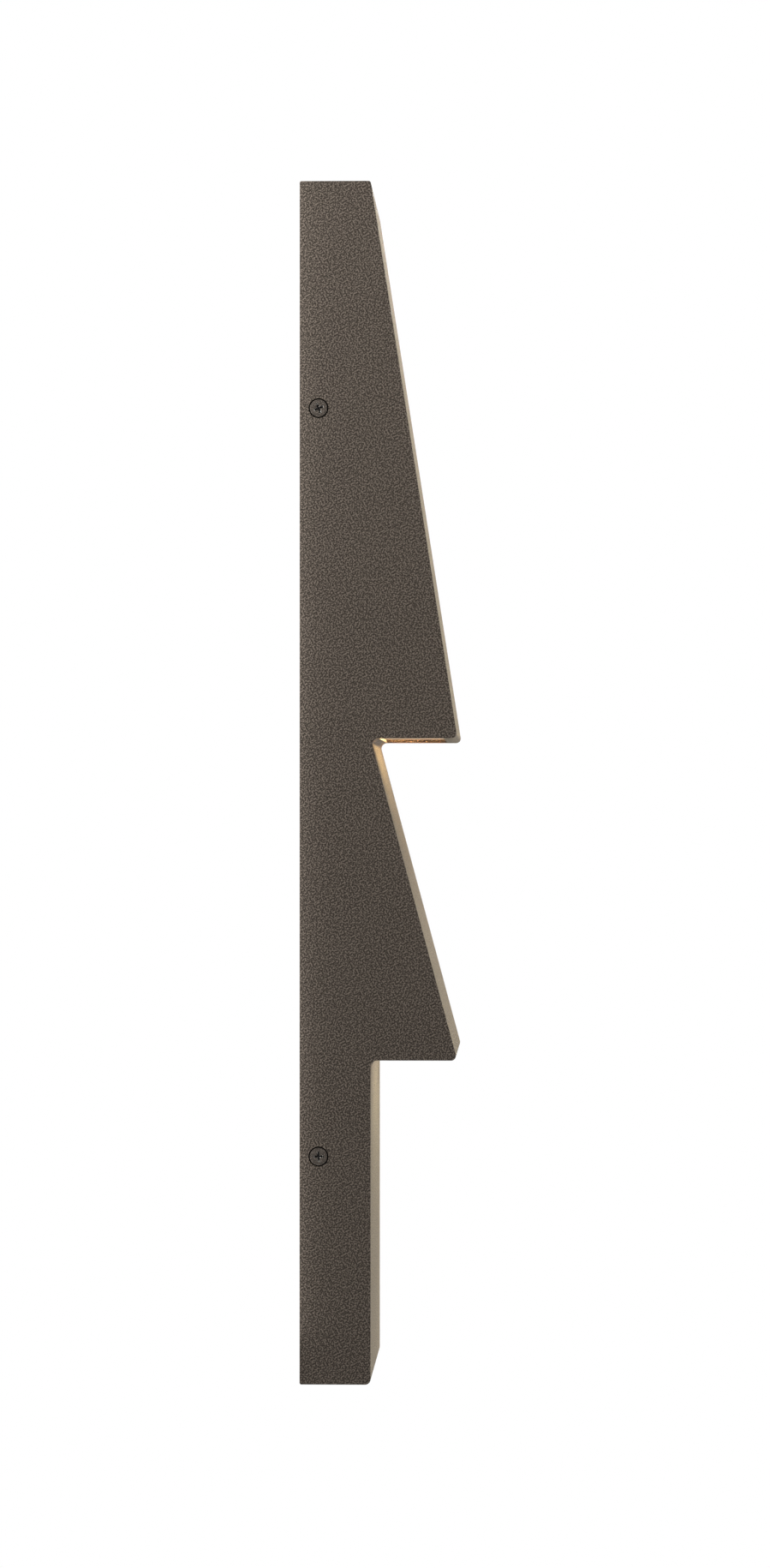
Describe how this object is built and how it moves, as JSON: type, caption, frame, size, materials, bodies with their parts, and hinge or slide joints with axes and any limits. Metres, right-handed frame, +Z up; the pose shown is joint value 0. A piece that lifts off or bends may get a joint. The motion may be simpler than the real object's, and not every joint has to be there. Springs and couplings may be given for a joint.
{
  "type": "outdoor wall lamp",
  "caption": "Tall wall lamp with a folded metal body in two sloped tiers; a warm lit slot under each tier shines down over the body and the wall.",
  "frame": {"origin": "on the wall, at the middle of the lamp's width and height, where the supply hole and the junction box screws are centred", "axes": "+X to the right seen from the room, +Y into the wall, +Z up; the lamp stands out along -Y"},
  "size_m": [0.152, 0.0796, 0.61],
  "materials": {
    "bronze_coat": "fine textured powder coat on cast aluminium, dark bronze",
    "bronze_screw": "dark bronze paint on steel",
    "zinc_steel": "bright zinc plate on sheet steel",
    "screw_steel": "zinc plate",
    "black_foam": "closed-cell foam",
    "black_nylon": "moulded, satin",
    "block_plastic": "moulded, satin",
    "brass_screw": "plain",
    "green_screw": "green dyed zinc plate",
    "tinned_lug": "tinned copper",
    "green_insulation": "insulation, green",
    "brown_insulation": "insulation, brown",
    "blue_insulation": "insulation, blue",
    "red_insulation": "insulation, red",
    "black_insulation": "insulation, black",
    "driver_plastic": "moulded, fine spark texture",
    "grey_resin": "poured resin",
    "frosted_lens": "frosted sheet, lit from behind",
    "clear_silicone": "milky silicone",
    "white_plastic": "white reflector grade, matt",
    "white_board": "white solder mask on aluminium",
    "led_package": "white package round a phosphor window",
    "plain_aluminium": "mill finish",
    "connector_plastic": "moulded, satin"
  },
  "bodies": {
    "root": {"housing": "bronze_coat", "side_screws": "bronze_screw", "clinch_nuts": "screw_steel", "wall_bracket": "zinc_steel", "rim_seal": "black_foam", "supply_bushing": "black_nylon", "terminal_block": "block_plastic", "terminal_screws": "brass_screw", "terminal_fixings": "screw_steel", "earth_screw": "green_screw", "earth_lug": "tinned_lug", "earth_lead": "green_insulation", "live_lead": "brown_insulation", "neutral_lead": "blue_insulation", "wire_clips": "black_nylon", "driver_case": "driver_plastic", "driver_potting": "grey_resin", "driver_screws": "screw_steel", "upper_lens": "frosted_lens", "upper_lens_gasket": "clear_silicone", "upper_reflector": "white_plastic", "upper_led_board": "white_board", "upper_leds": "led_package", "upper_board_screws": "screw_steel", "upper_light_bracket": "plain_aluminium", "upper_bracket_screws": "screw_steel", "upper_connector": "connector_plastic", "upper_lead_red": "red_insulation", "upper_lead_black": "black_insulation", "lower_lens": "frosted_lens", "lower_lens_gasket": "clear_silicone", "lower_reflector": "white_plastic", "lower_led_board": "white_board", "lower_leds": "led_package", "lower_board_screws": "screw_steel", "lower_light_bracket": "plain_aluminium", "lower_bracket_screws": "screw_steel", "lower_connector": "connector_plastic", "lower_lead_red": "red_insulation", "lower_lead_black": "black_insulation"}
  },
  "joints": []
}
